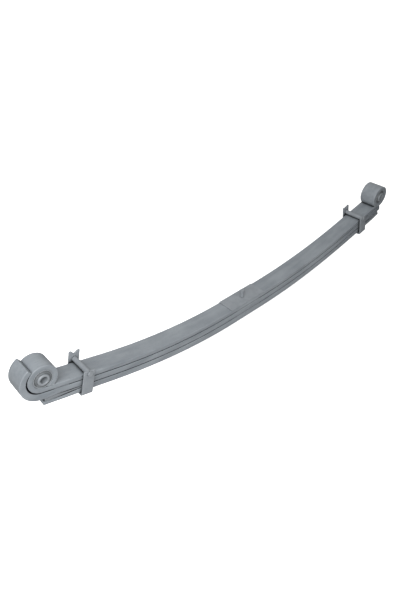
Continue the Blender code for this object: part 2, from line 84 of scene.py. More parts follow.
def topSlope(x):
    # twice camber times run, held constant along the straight tail
    camber = np.where(x < 0, springShape["frontCamber"], springShape["rearCamber"])
    run = np.maximum(np.abs(x) - springShape["seatHalf"], 0)
    bend = springShape["tailStart"] - springShape["seatHalf"]
    return np.sign(x) * 2 * camber * np.minimum(run, bend)


def belowTop(x, depth):
    # the point of the top face at x, moved by depth square to that face; gives rows of (x, z)
    x = np.asarray(x, float)
    grade = topSlope(x)
    length = np.hypot(1, grade)
    return np.stack([x + depth * grade / length, springShape["topZ"] + topRise(x) - depth / length], -1)


def tailDirections(side):
    # unit (x, z) along the tail away from the seat, and square to it upwards
    grade = float(topSlope(np.array(side * springShape["tailStart"])))
    length = math.hypot(1, grade)
    return np.array([side / length, side * grade / length]), np.array([-grade / length, 1 / length])


def eyeCentre(side):
    station = springShape["frontEye"] if side < 0 else springShape["rearEye"]
    return belowTop(side * station, 0) + springShape["boreRadius"] * tailDirections(side)[1]


def eyePoint(side, radius, angle):
    # circle about the eye's centre: angle 0 is straight below it, and it turns outwards
    run, rising = tailDirections(side)
    turn = np.asarray(angle, float)[..., None]
    return eyeCentre(side) + radius * (np.sin(turn) * run - np.cos(turn) * rising)


def eased(stations, values, x):
    # smoothstep from each station's value to the next
    run = np.abs(x)
    out = np.full_like(run, values[0], dtype=float)
    for low, high, fromValue, toValue in zip(stations, stations[1:], values, values[1:]):
        share = np.clip((run - low) / (high - low), 0, 1)
        out = np.where(run > low, fromValue + (toValue - fromValue) * share**2 * (3 - 2 * share), out)
    return out


meshFinish = {
    "weld": 0.000002,
    "sharpAngle": math.radians(30),
}


def finishMesh(name, points, faces):
    # the mesh as one closed shell that faces outwards, smooth but for edges over 30 degrees
    mesh = bpy.data.meshes.new(name)
    mesh.from_pydata(points.reshape(-1, 3).tolist(), [], faces)
    shell = bmesh.new()
    shell.from_mesh(mesh)
    bmesh.ops.remove_doubles(shell, verts=shell.verts, dist=meshFinish["weld"])
    bmesh.ops.recalc_face_normals(shell, faces=shell.faces)
    shell.to_mesh(mesh)
    shell.free()
    mesh.shade_smooth()
    mesh.set_sharp_from_angle(angle=meshFinish["sharpAngle"])
    piece = bpy.data.objects.new(name, mesh)
    bpy.context.scene.collection.objects.link(piece)
    return piece


def ringFaces(rows, columns, closedRows):
    # quads between each row of a grid and the next; every row is a closed ring
    row = np.arange(rows if closedRows else rows - 1)[:, None]
    column = np.arange(columns)[None, :]
    after, beside = (row + 1) % rows, (column + 1) % columns
    quads = np.stack(
        [
            row * columns + column,
            row * columns + beside,
            after * columns + beside,
            after * columns + column,
        ],
        -1,
    )
    faces = quads.reshape(-1, 4).tolist()
    if not closedRows:
        faces += [list(range(columns))[::-1], list(range((rows - 1) * columns, rows * columns))]
    return faces


barSection = {
    "cornerSteps": 4,
    "support": 0.03,  # strip beside each corner, as a share of the flat, that keeps its shading flat
    "crown": 0.0005,
    "endRing": 0.0006,  # width of the ring round each flat end face
    "cornerFall": 0.9,  # how fast the corner radius shrinks as the end draws in
    "cornerLeast": 0.1,  # the least it shrinks to, as a share of the full radius
}
flatWide = np.linspace(-1, 1, 9)  # points across the wide faces, as shares of the half width


def sectionRing(wide):
    # a rectangle with round corners as four rows: flat share and corner share, across and in depth
    turn = np.linspace(0, math.pi / 2, barSection["cornerSteps"] + 1)
    near = 1 - barSection["support"]
    across = np.concatenate([[-near], wide[1:-1], [near]])
    down = np.array([1 - near, 0.5, near])
    one, zero = np.ones_like, np.zeros_like
    parts = [
        (across, zero(across), zero(across), zero(across)),
        (one(turn), np.sin(turn), zero(turn), 1 - np.cos(turn)),
        (one(down), one(down), down, one(down)),
        (one(turn), np.cos(turn), one(turn), 1 + np.sin(turn)),
        (across[::-1], zero(across), one(across), 2 * one(across)),
        (-one(turn), -np.sin(turn), one(turn), 1 + np.cos(turn)),
        (-one(down), -one(down), down[::-1], one(down)),
        (-one(turn), -np.cos(turn), zero(turn), 1 - np.sin(turn)),
    ]
    return [np.concatenate(column) for column in zip(*parts)]


def withRoundEnds(tops, lows, half, corner, ends):
    # past each end the outline draws in along a quarter circle, then once more on the flat end face
    steps = np.linspace(0, math.pi / 2, barSection["cornerSteps"] + 1)[1:]
    along = np.append(np.sin(steps), 1) * corner
    inset = np.append(1 - np.cos(steps), 1) * corner
    inset[-1] += barSection["endRing"]
    half, radius = np.full(len(tops), half), np.full(len(tops), corner)
    for atEnd in (False, True):
        if not ends[atEnd]:
            continue
        edge, inner = (-1, -2) if atEnd else (0, 1)
        middle = (tops + lows) / 2
        out = middle[edge] - middle[inner]
        out = out / np.linalg.norm(out)
        down = lows[edge] - tops[edge]
        down = down / np.linalg.norm(down)
        base = along[:, None] * out - corner * out
        newTops = tops[edge] + base + inset[:, None] * down
        newLows = lows[edge] + base - inset[:, None] * down
        tops[edge], lows[edge] = tops[edge] - corner * out, lows[edge] - corner * out
        newHalf = half[edge] - inset
        leastRadius = corner * barSection["cornerLeast"]
        newRadius = np.maximum(corner - barSection["cornerFall"] * inset, leastRadius)
        if atEnd:
            tops, lows = np.concatenate([tops, newTops]), np.concatenate([lows, newLows])
            half, radius = np.append(half, newHalf), np.append(radius, newRadius)
        else:
            tops, lows = np.concatenate([newTops[::-1], tops]), np.concatenate([newLows[::-1], lows])
            half, radius = np.append(newHalf[::-1], half), np.append(newRadius[::-1], radius)
    return tops, lows, half, radius


def barPoints(tops, lows, half, corner, ends=(True, True), wide=flatWide):
    # a round-cornered section carried along two lines, one through its upper and one its lower face
    tops, lows, half, radius = withRoundEnds(tops.copy(), lows.copy(), half, corner, ends)
    flatY, cornerY, flatDepth, cornerDepth = sectionRing(wide)
    thick = np.linalg.norm(lows - tops, axis=1)
    down = (lows - tops) / thick[:, None]
    y = np.outer(half - radius, flatY) + np.outer(radius, cornerY)
    depth = np.outer(thick - 2 * radius, flatDepth) + np.outer(radius, cornerDepth)
    # the rolled edge bulges: its corners draw in by the crown, and its middle keeps the full width
    fall = barSection["crown"] * (2 * depth / thick[:, None] - 1) ** 2
    y = y - np.sign(y) * np.where(np.abs(cornerY) > 0, fall, 0)
    x = tops[:, None, 0] + depth * down[:, None, 0]
    z = tops[:, None, 1] + depth * down[:, None, 1]
    return np.stack([x, y, z], -1)


def barPiece(name, points):
    # the rows of points as a closed bar with a face on each end
    return finishMesh(name, points, ringFaces(points.shape[0], points.shape[1], False))


# what bolts, nuts, sleeves and rivets share
fastenerShape = {
    "smallSides": 32,
    "edgeBreak": 0.0006,
    "flatsFrom": 0.999,  # a radius past this share of the apothem is on the hexagon
    "coneMark": 1.001,  # and this share of it marks the edge that the chamfer cone cuts
    "markReach": 1e-7,
    "faceShare": 0.96,  # the flat end face, against the apothem
    "coneFall": 0.58,  # tangent of a 30 degree chamfer
    "supportBand": 0.004,
    "pointStep": 0.001,  # chamfer on a bolt's point
}


def turnedPoints(profile, centre, axis, sides, radiusAt=None):
    # each (radius, height) of the profile carried round the axis; radiusAt makes it other than round
    axis = np.array(axis, float)
    first = np.cross(axis, [0, 0, 1] if abs(axis[2]) < 0.9 else [0, 1, 0])
    first = first / np.linalg.norm(first)
    second = np.cross(axis, first)
    angle = np.linspace(0, 2 * math.pi, sides, endpoint=False)
    profile = np.array(profile, float)
    radius, height = np.repeat(profile[:, :1], sides, 1), np.repeat(profile[:, 1:], sides, 1)
    if radiusAt is not None:
        radius, height = radiusAt(radius, height, angle)
    ring = radius[..., None] * (np.cos(angle)[:, None] * first + np.sin(angle)[:, None] * second)
    return np.array(centre) + ring + height[..., None] * axis


def turnedPiece(name, profile, centre, axis, sides=48, hollow=False, radiusAt=None):
    # a hollow profile closes on itself; any other is capped by a face at each end
    points = turnedPoints(profile, centre, axis, sides, radiusAt)
    return finishMesh(name, points, ringFaces(points.shape[0], sides, hollow))


def drill(piece, name, radius, length, centre, axis):
    # a hole: a turned bar taken away from the piece, and the result kept as its mesh
    profile = [(radius, -length / 2), (radius, length / 2)]
    bar = turnedPiece(name, profile, centre, axis, fastenerShape["smallSides"])
    cutter = piece.modifiers.new(name, "BOOLEAN")
    cutter.operation, cutter.solver, cutter.object = "DIFFERENCE", "EXACT", bar
    graph = bpy.context.evaluated_depsgraph_get()
    mesh = bpy.data.meshes.new_from_object(piece.evaluated_get(graph))
    piece.modifiers.clear()
    piece.data = mesh
    mesh.set_sharp_from_angle(angle=meshFinish["sharpAngle"])
    bpy.data.objects.remove(bar, do_unlink=True)


def hexColour(text):
    # sRGB hex to linear light
    parts = [int(text[i : i + 2], 16) / 255 for i in (1, 3, 5)]
    linear = [c / 12.92 if c <= 0.04045 else ((c + 0.055) / 1.055) ** 2.4 for c in parts]
    return (*linear, 1.0)


def addNode(tree, kind, settings=None, links=None):
    # settings are the node's own properties or its sockets' values; links are sockets that feed it
    node = tree.nodes.new(kind)
    for key, value in (settings or {}).items():
        if isinstance(key, str) and hasattr(node, key):
            setattr(node, key, value)
        else:
            node.inputs[key].default_value = value
    for key, source in (links or {}).items():
        tree.links.new(source, node.inputs[key])
    return node


def emptyMaterial(name):
    # a material whose tree holds nothing yet, and that tree
    made = bpy.data.materials.new(name)
    made.use_nodes = True
    made.node_tree.nodes.clear()
    return made, made.node_tree


def shareBetween(tree, source, limits, results=(0.0, 1.0)):
    # share of the way from the first limit to the second, kept within them, drawn out over the results
    settings = {"From Min": limits[0], "From Max": limits[1], "To Min": results[0], "To Max": results[1]}
    return addNode(tree, "ShaderNodeMapRange", settings, {"Value": source})


def sprayedMaterial(name, look):
    # colour: base mixed to a paler tone by broad clouds and long streaks, then specked with flecks,
    # lighter on the edges, partly wear and partly painted highlight, and darkened in the gaps by painted
    # shade
    # height: grit under the film plus the fine orange peel of the film itself
    # roughness: the look's own value, swung by the same streaks
    made, tree = emptyMaterial(name)
    place = addNode(tree, "ShaderNodeTexCoord").outputs["Object"]
    cloud = addNode(
        tree,
        "ShaderNodeTexNoise",
        {"Scale": look["cloudScale"], "Detail": 3.0, "Roughness": 0.55},
        {"Vector": place},
    )
    stretched = addNode(tree, "ShaderNodeMapping", {"Scale": look["streakScale"]}, {"Vector": place})
    streak = addNode(
        tree, "ShaderNodeTexNoise", {"Scale": 1.0, "Detail": 4.0}, {"Vector": stretched.outputs[0]}
    )
    fleck = addNode(
        tree, "ShaderNodeTexNoise", {"Scale": look["fleckScale"], "Detail": 2.0}, {"Vector": place}
    )
    fleckMask = shareBetween(tree, fleck.outputs["Fac"], look["fleckLimits"])
    tone = addNode(
        tree, "ShaderNodeMath", {"operation": "ADD"}, {0: cloud.outputs["Fac"], 1: streak.outputs["Fac"]}
    )
    toneMask = shareBetween(tree, tone.outputs[0], look["toneLimits"])
    body = addNode(
        tree,
        "ShaderNodeMix",
        {"data_type": "RGBA", 6: hexColour(look["base"]), 7: hexColour(look["pale"])},
        {0: toneMask.outputs[0]},
    )
    fleckShare = addNode(
        tree, "ShaderNodeMath", {"operation": "MULTIPLY", 1: look["fleckShare"]}, {0: fleckMask.outputs[0]}
    )
    flecked = addNode(
        tree,
        "ShaderNodeMix",
        {"data_type": "RGBA", 7: hexColour(look["fleck"])},
        {0: fleckShare.outputs[0], 6: body.outputs[2]},
    )
    # a rounded normal differs from the true one only near an edge, which is painted paler: partly the film
    # rubbed thin, partly a painted highlight
    softNormal = addNode(tree, "ShaderNodeBevel", {"samples": 4, "Radius": look["edgeRadius"]})
    trueNormal = addNode(tree, "ShaderNodeNewGeometry").outputs["Normal"]
    facing = addNode(
        tree,
        "ShaderNodeVectorMath",
        {"operation": "DOT_PRODUCT"},
        {0: softNormal.outputs[0], 1: trueNormal},
    )
    edge = shareBetween(tree, facing.outputs["Value"], look["edgeLimits"], (0.0, look["edgeShare"]))
    wornAndHighlit = addNode(
        tree,
        "ShaderNodeMix",
        {"data_type": "RGBA", 7: hexColour(look["edge"])},
        {0: edge.outputs[0], 6: flecked.outputs[2]},
    )
    # painted shade: the narrow gaps, where little of the sky is seen, darken towards a near-black tone
    openness = addNode(tree, "ShaderNodeAmbientOcclusion", {"samples": 8, "Distance": look["gapReach"]})
    paintedGapShadeMask = shareBetween(tree, openness.outputs["AO"], look["gapShadeLimits"], (0.0, look["gapShadeShare"]))
    shaded = addNode(
        tree,
        "ShaderNodeMix",
        {"data_type": "RGBA", 7: hexColour(look["gapShadeTone"])},
        {0: paintedGapShadeMask.outputs[0], 6: wornAndHighlit.outputs[2]},
    )
    below, above = look["roughSwing"]
    swing = (look["rough"] - below, look["rough"] + above)
    rough = shareBetween(tree, streak.outputs["Fac"], look["roughLimits"], swing)
    grit = addNode(
        tree, "ShaderNodeTexNoise", {"Scale": look["gritScale"], "Detail": 5.0}, {"Vector": place}
    )
    peel = addNode(
        tree, "ShaderNodeTexNoise", {"Scale": look["peelScale"], "Detail": 1.0}, {"Vector": place}
    )
    gritBump = addNode(
        tree,
        "ShaderNodeBump",
        {"Strength": 0.6, "Distance": look["gritHeight"]},
        {"Height": grit.outputs["Fac"]},
    )
    peelBump = addNode(
        tree,
        "ShaderNodeBump",
        {"Strength": 0.5, "Distance": look["peelHeight"]},
        {"Height": peel.outputs["Fac"], "Normal": gritBump.outputs[0]},
    )
    shader = addNode(
        tree,
        "ShaderNodeBsdfPrincipled",
        {"Metallic": look["metallic"]},
        {"Base Color": shaded.outputs[2], "Roughness": rough.outputs[0], "Normal": peelBump.outputs[0]},
    )
    addNode(tree, "ShaderNodeOutputMaterial", links={"Surface": shader.outputs[0]})
    return made


# Chassis enamel sprayed over shot-peened spring steel: a satin, slightly bluish grey film that shows
# the peened surface under it, paler along the edges, partly where it is rubbed thin and partly as a painted
# highlight
leafEnamelLook = {
    "base": "#7b8187",
    "pale": "#91979c",
    "fleck": "#6f757a",
    # edge colour: partly rubbed film, partly a painted highlight
    "edge": "#b0b5b9",
    "cloudScale": 7.0,  # clouds about 140 mm across
    "streakScale": (5.0, 45.0, 45.0),  # runs of 200 mm along the leaf and 22 mm across it
    "fleckScale": 160.0,  # flecks of 6 mm
    "fleckShare": 0.55,
    "fleckLimits": (0.62, 0.74),  # noise over which body turns to fleck
    "toneLimits": (0.75, 1.25),  # cloud and streak noise together, over which base turns to pale
    "gritScale": 260.0,  # peening dimples of about 4 mm, drawn coarser than the real 1 mm so they show
    "gritHeight": 0.00032,
    "peelScale": 900.0,  # orange peel of 1.1 mm
    "peelHeight": 0.00005,
    # painted shade in the narrow gaps between parts
    "gapReach": 0.016,  # a gap under 16 mm wide counts as narrow
    "gapShadeShare": 0.92,
    "gapShadeLimits": (0.66, 0.38),  # openness at which a gap starts to darken and at which it is darkest
    "gapShadeTone": "#1f2123",
    "edgeRadius": 0.0022,
    "edgeShare": 0.85,
    "edgeLimits": (0.995, 0.86),  # cosine between the two normals, on a flat and on a full edge
    "rough": 0.46,
    "roughSwing": (0.06, 0.08),  # the streaks take the roughness this far below and above
    "roughLimits": (0.3, 0.7),  # streak noise at the two ends of that swing
    "metallic": 0.0,
}
# The same film on bent strap and plate: cleaner, since cold-formed strip has no peening
stripEnamelLook = dict(leafEnamelLook, gritHeight=0.0001, cloudScale=14.0, streakScale=(30.0, 30.0, 30.0))
stripEnamelLook.update(base="#82878c", pale="#8f9499", edgeRadius=0.0016)
# Zinc-plated fastener steel under a thin coat of the enamel: a little paler and shinier than the leaves
zincPlateLook = dict(leafEnamelLook, base="#8c9196", pale="#9da2a6", fleck="#7f8488", edge="#b9bdc0")
zincPlateLook.update(cloudScale=90.0, streakScale=(120.0, 120.0, 120.0), fleckScale=600.0, rough=0.40)
zincPlateLook.update(metallic=0.25, gritHeight=0.00004, edgeRadius=0.0009, edgeShare=0.5)
# Turned steel sleeve with paint drifted over it: a smoother pale grey that is bright on its chamfer, partly
# rubbed paint and partly a painted highlight
sleeveSteelLook = dict(leafEnamelLook, base="#7f8488", pale="#90959a", edge="#b2b7bb", cloudScale=40.0)
sleeveSteelLook.update(streakScale=(60.0, 60.0, 60.0), rough=0.40, gritHeight=0.00005, edgeRadius=0.0012)
# Bonded natural rubber with the enamel drifted over it: dull, blotched and a shade darker than steel
bushRubberLook = dict(leafEnamelLook, base="#64686b", pale="#787c7f", fleck="#54575a", edge="#85898c")
bushRubberLook.update(cloudScale=60.0, streakScale=(90.0, 90.0, 90.0), fleckScale=420.0, rough=0.72)
bushRubberLook.update(gritHeight=0.00016, edgeRadius=0.0015, edgeShare=0.4)
# Moulded polymer pad painted over with the leaves: matt mid grey, paler at its edges, partly rubbed and
# partly a painted highlight
tipPadLook = dict(leafEnamelLook, base="#74797d", pale="#83888c", fleck="#8b8f93", edge="#979ba0")
tipPadLook.update(cloudScale=50.0, streakScale=(20.0, 120.0, 120.0), rough=0.62, gritHeight=0.00012)

leafEnamel = sprayedMaterial("leafEnamel", leafEnamelLook)
stripEnamel = sprayedMaterial("stripEnamel", stripEnamelLook)
zincPlate = sprayedMaterial("zincPlate", zincPlateLook)
sleeveSteel = sprayedMaterial("sleeveSteel", sleeveSteelLook)
bushRubber = sprayedMaterial("bushRubber", bushRubberLook)
tipPad = sprayedMaterial("tipPad", tipPadLook)
print("materials made")


def dress(piece, material, slotName, *nodes):
    # the piece's finish, the name of its slot, which is not used, and the CAD nodes that it stands for
    piece.data.materials.append(material)
    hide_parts(*nodes)
    return piece


leafStack = {
    "mainThickness": 0.018,
    "secondTop": 0.021,
    "secondBottomSeat": 0.0455,
    "secondBottomTail": 0.0435,
    "secondRearEnd": 0.939,
    "secondBottomEye": 0.0475,  # it thickens again where it bends up round the front eye
    "secondEyeStart": 0.860,
    "wrapEnd": math.radians(133),
    "wrapSwell": 0.003,  # added to the space round the eye halfway along the wrap
    "wrapClosing": 0.0027,  # taken from that space at the wrap's end
    "wrapEndThickness": 0.019,
    "eyeSlot": 0.0025,  # the roll stops this far above its own leaf
    "cutBlend": math.radians(40),  # the roll's outer face runs on over its last 40 degrees
    "thirdStations": (0.100, 0.735, 0.875, 0.930),
    "thirdTop": {-1: (0.0485, 0.0465, 0.0600, 0.0600), 1: (0.0485, 0.0465, 0.0555, 0.0555)},
    "thirdBottom": {-1: (0.0760, 0.0705, 0.0735, 0.0735), 1: (0.0760, 0.0705, 0.0700, 0.0660)},
    "thirdEnd": {-1: 0.929, 1: 0.928},
    "corner": 0.0022,  # edge radius of the rolled flat
    "step": 0.008,
    "arcStep": math.radians(5),
    "taperStart": 0.100,
    "flexStart": 0.160,
    "flexEnd": 0.757,
}


def secondBottom(x):
    # thick at the seat, thinner along the tail; the front end alone thickens again towards the eye
    seat, tail = leafStack["secondBottomSeat"], leafStack["secondBottomTail"]
    taper = (leafStack["taperStart"], springShape["tailStart"])
    stations = (*taper, leafStack["secondEyeStart"], springShape["frontEye"])
    front = eased(stations, (seat, tail, tail, leafStack["secondBottomEye"]), x)
    return np.where(x < 0, front, eased(taper, (seat, tail), x))


def thirdFace(face, x):
    # smoothstep between the face's depths at its stations, front half or rear half
    values, stations = leafStack[face], leafStack["thirdStations"]
    return np.where(x < 0, eased(stations, values[-1], x), eased(stations, values[1], x))


def stationsTo(end):
    # even steps from the middle of the seat out to the end
    count = int(abs(end) / leafStack["step"])
    return np.linspace(0, end, count + 1)


def rolled(side, inner, outer, innerEnd, outerEnd):
    # two arcs about the eye; over the last stretch the outer one runs on to reach the slanting cut
    angle = np.linspace(0, innerEnd, int(innerEnd / leafStack["arcStep"]) + 1)[1:]
    share = np.clip(1 - (innerEnd - angle) / leafStack["cutBlend"], 0, 1) ** 2
    return eyePoint(side, inner, angle), eyePoint(side, outer, angle + share * (outerEnd - innerEnd))


def wrapped(thickness):
    # arcs round the front eye: the space inside is a sine less a square, and the wall thins evenly
    end = leafStack["wrapEnd"]
    angle = np.linspace(0, end, int(end / leafStack["arcStep"]) + 1)[1:]
    share = (angle / end)[:, None]
    space = leafStack["wrapSwell"] * np.sin(math.pi * share) - leafStack["wrapClosing"] * share**2
    inner = springShape["boreRadius"] + leafStack["secondTop"] + space
    wall = thickness + (leafStack["wrapEndThickness"] - thickness) * share
    return eyePoint(-1, inner, angle), eyePoint(-1, inner + wall, angle)


def leafHalf(name, tops, lows, node):
    # half a leaf from the seat's middle out
    points = barPoints(tops, lows, springShape["halfWidth"], leafStack["corner"], (False, True))
    piece = barPiece(name, points)
    dress(piece, leafEnamel, "grey_paint", node)
    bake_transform(piece)


def makeLeaves():
    bore, thick = springShape["boreRadius"], leafStack["mainThickness"]
    level = bore - leafStack["eyeSlot"]
    innerEnd = 2 * math.pi - math.acos(level / bore)
    outerEnd = 2 * math.pi - math.acos(level / (bore + thick))
    for side, end in ((-1, "front"), (1, "rear")):
        x = stationsTo(side * springShape[end + "Eye"])
        inner, outer = rolled(side, bore, bore + thick, innerEnd, outerEnd)
        tops = np.concatenate([belowTop(x, 0), inner])
        lows = np.concatenate([belowTop(x, thick), outer])
        leafHalf("mainLeaf_" + end, tops, lows, "main_leaf")
        if side < 0:
            depth = secondBottom(x)
            inner, outer = wrapped(depth[-1] - leafStack["secondTop"])
            tops = np.concatenate([belowTop(x, leafStack["secondTop"]), inner])
            lows = np.concatenate([belowTop(x, depth), outer])
        else:
            x = stationsTo(leafStack["secondRearEnd"])
            tops, lows = belowTop(x, leafStack["secondTop"]), belowTop(x, secondBottom(x))
        leafHalf("secondLeaf_" + end, tops, lows, "second_leaf")
        x = stationsTo(side * leafStack["thirdEnd"][side])
        tops, lows = belowTop(x, thirdFace("thirdTop", x)), belowTop(x, thirdFace("thirdBottom", x))
        leafHalf("thirdLeaf_" + end, tops, lows, "third_leaf")
    print("leaves made")


makeLeaves()

seatParts = {
    "plateHalf": 0.097,
    "plateThickness": 0.003,
    "plateBevel": 0.0015,
    "plateCorner": 0.0006,
    "headRadius": 0.008,
    "shankRadius": 0.006,
    "nutAcross": 0.0215,
    "nutHeight": 0.011,
    "boltPast": 0.003,
    "spotFace": 0.0005,  # the nut sits this far into the third leaf
    "plateEnd": 0.012,  # from each end of the plate to its first even station
    "plateSteps": 24,
    "holeLength": 0.05,
    "threadDip": 0.00035,
    "threadSteps": 9,
}


def hexShape(apothem, chamferEnd):
    # hexagon: apothem over the cosine of the turn from the nearest flat's middle, cut by a cone at the
    # end that chamferEnd names, which is 1 for the high end and -1 for the low one
    def radiusAt(radius, height, angle):
        away = np.mod(angle + math.pi / 6, math.pi / 3) - math.pi / 6
        corner = apothem / np.cos(away)
        onFlats = radius > apothem * fastenerShape["flatsFrom"]
        drop = np.where(onFlats, (corner - apothem) * fastenerShape["coneFall"], 0) * chamferEnd
        tall = np.abs(radius - apothem * fastenerShape["coneMark"]) < fastenerShape["markReach"]
        return np.where(onFlats, corner, radius), height - np.where(tall, drop, 0)

    return radiusAt


def nutProfile(bore, apothem, low, high, chamferEnd):
    # ring up the outside and down the bore; the radius just past the apothem marks the cone's edge
    edge, face = fastenerShape["edgeBreak"], apothem * fastenerShape["faceShare"]
    cone = apothem * fastenerShape["coneMark"]
    lowSide, highSide = (apothem, cone) if chamferEnd > 0 else (cone, apothem)
    outside = [(face, low), (lowSide, low + edge), (highSide, high - edge), (face, high)]
    return outside + [(bore + edge, high), (bore, high - edge), (bore, low + edge), (bore + edge, low)]


def makeSeat():
    gap, top = springShape["gap"], springShape["topZ"]
    half, thick, bevel = seatParts["plateHalf"], seatParts["plateThickness"], seatParts["plateBevel"]
    end = half - seatParts["plateEnd"]
    inside = np.linspace(-end, end, seatParts["plateSteps"])
    x = np.concatenate([[-half, -half + bevel], inside, [half - bevel, half]])
    lift = gap + thick - np.where(np.abs(x) > half - bevel / 2, bevel, 0)
    tops, lows = belowTop(x, -lift), belowTop(x, -gap)
    points = barPoints(tops, lows, springShape["halfWidth"], seatParts["plateCorner"])
    plate = barPiece("centrePlate", points)
    head, shank = seatParts["headRadius"], seatParts["shankRadius"]
    drill(plate, "headHole", head + gap, seatParts["holeLength"], (0, 0, 0), (0, 0, 1))
    dress(plate, stripEnamel, "grey_paint", "centre_plate")
    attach(plate, "leaf_pack")
    nutTop = top - leafStack["thirdBottom"][1][0] + seatParts["spotFace"] - gap
    nutBase = nutTop - seatParts["nutHeight"]
    boltEnd = nutBase - seatParts["boltPast"]
    shoulder = top + gap
    # head, from the middle of its rounded top out and down to the shank
    profile = [
        (head - 0.0022, 0), (head - 0.0014, 0), (head - 0.0006, -0.0003), (head, -0.0014), (head, -0.0024),
        (head, shoulder + 0.0008), (head, shoulder), (head - 0.0008, shoulder), (shank, shoulder),
        (shank, shoulder - 0.001), (shank, nutBase + 0.001),
    ]
    # end of the thread below the nut: the radius swings by a third of a millimetre at each step
    point = fastenerShape["pointStep"]
    height = np.linspace(nutBase, boltEnd + point, seatParts["threadSteps"])
    profile += [(shank - seatParts["threadDip"] * (i % 2), h) for i, h in enumerate(height)]
    profile += [(shank - point, boltEnd), (shank - 2 * point, boltEnd)]
    bolt = turnedPiece("centreBolt", profile, (0, 0, 0), (0, 0, 1))
    dress(bolt, zincPlate, "grey_paint", "centre_bolt")
    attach(bolt, "leaf_pack")
    apothem = seatParts["nutAcross"] / 2
    profile = nutProfile(shank + gap, apothem, nutBase, nutTop, -1)
    nut = turnedPiece("centreNut", profile, (0, 0, 0), (0, 0, 1), 48, True, hexShape(apothem, -1))
    dress(nut, zincPlate, "grey_paint", "centre_nut")
    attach(nut, "leaf_pack")
    print("seat made")


makeSeat()

clipShape = {
    "station": 0.782,
    "halfWidth": 0.021,
    "thickness": 0.006,
    "nearHalf": 0.050,  # from the middle of the leaf to the inside of each arm
    "farHalf": 0.045,
    "corner": 0.006,
    "edge": 0.0009,
    "earTop": {"near": 0.0215, "far": 0.041},
    "notchDepth": {"near": 0.003, "far": 0.012},  # as deep as it is half wide: a right-angled V
    "notchRoot": {"near": 0.0175, "far": 0.0220},  # rows above this height follow the notch
    "drop": 0.0025,
    "boltHeight": 0.0115,
    "boltRadius": 0.005,
    "headAcross": 0.017,
    "headHeight": 0.006,
    "boltPast": 0.003,
    "tubeRadius": 0.0095,
    "rivetRadius": 0.005,
    "rivetHead": 0.009,
    "rivetHeadHeight": 0.0035,
    "rivetReach": 0.012,
    "armEnd": -0.06,  # lowest even row of an arm, just above its bend
    "rootStep": 0.004,
    "baseStart": 0.002,
    "acrossSteps": 29,
    "boltHoleLength": 0.2,
    "rivetHoleLength": 0.04,
    "threadDip": 0.0003,
    "threadSteps": 13,
    "crownStart": 0.15,  # angle from the rivet's axis to the rim of its small flat crown
}


def clipFrame(side):
    # origin on the top face at the clip, then directions along the leaf, across it and square to it
    run, rising = tailDirections(side)
    x, z = belowTop(side * clipShape["station"], 0)
    along = np.array([run[0], 0, run[1]]) * side
    return np.array([x, 0, z]), along, np.array([0, 1.0, 0]), np.array([rising[0], 0, rising[1]])


def strapArm(ear):
    # heights down one arm, from its ear's end to just above the bend
    top, root = clipShape["earTop"][ear], clipShape["notchRoot"][ear]
    below = np.linspace(root - clipShape["rootStep"], clipShape["armEnd"], 10)
    return np.concatenate([np.linspace(top, root, 6), below])


def strapPoints(low):
    # U line: down the near arm, round a quarter circle, across and up the far arm, with its wall outside
    near, far = clipShape["nearHalf"], clipShape["farHalf"]
    wall, corner = clipShape["thickness"], clipShape["corner"]
    floor = low + wall
    turn = np.linspace(0, math.pi / 2, 9)
    bend = np.stack([1 - np.cos(turn), 1 - np.sin(turn)], -1) * corner
    swell = np.stack([-np.cos(turn), -np.sin(turn)], -1) * wall
    flip = np.array([-1, 1])
    nearIn = bend + [-near, floor]
    farIn = (bend * flip + [far, floor])[::-1]
    nearOut, farOut = nearIn + swell, farIn + (swell * flip)[::-1]
    margin = corner + clipShape["baseStart"]
    across = np.linspace(-near + margin, far - margin, 12)
    base = np.stack([across, np.full_like(across, floor)], -1)
    nearHeight, farHeight = strapArm("near"), strapArm("far")[::-1]
    nearArm = np.stack([np.full_like(nearHeight, -near), nearHeight], -1)
    farArm = np.stack([np.full_like(farHeight, far), farHeight], -1)
    inner = np.concatenate([nearArm, nearIn, base, farIn, farArm])
    outer = np.concatenate([nearArm - [wall, 0], nearOut, base - [0, wall], farOut, farArm + [wall, 0]])
    wide = np.linspace(-1, 1, clipShape["acrossSteps"])
    points = barPoints(inner, outer, clipShape["halfWidth"], clipShape["edge"], (True, True), wide)
    y, along, height = points[..., 0], points[..., 1], points[..., 2]
    return along, y, notched(along, y, height)


def notched(along, y, height):
    # fishtail: each ear's end drops by a V across its width, and the rows below share the drop
    for ear, beside in (("near", y < 0), ("far", y > 0)):
        depth, root = clipShape["notchDepth"][ear], clipShape["notchRoot"][ear]
        vee = np.clip(depth - np.abs(along), 0, None)
        share = np.clip((height - root) / (clipShape["earTop"][ear] - root), 0, 1)
        height = np.where(beside, height - vee * share, height)
    return height


def placed(frameOf, along, y, height):
    # the clip's own coordinates as points of the spring
    origin, run, across, rising = frameOf
    return origin + along[..., None] * run + y[..., None] * across + height[..., None] * rising


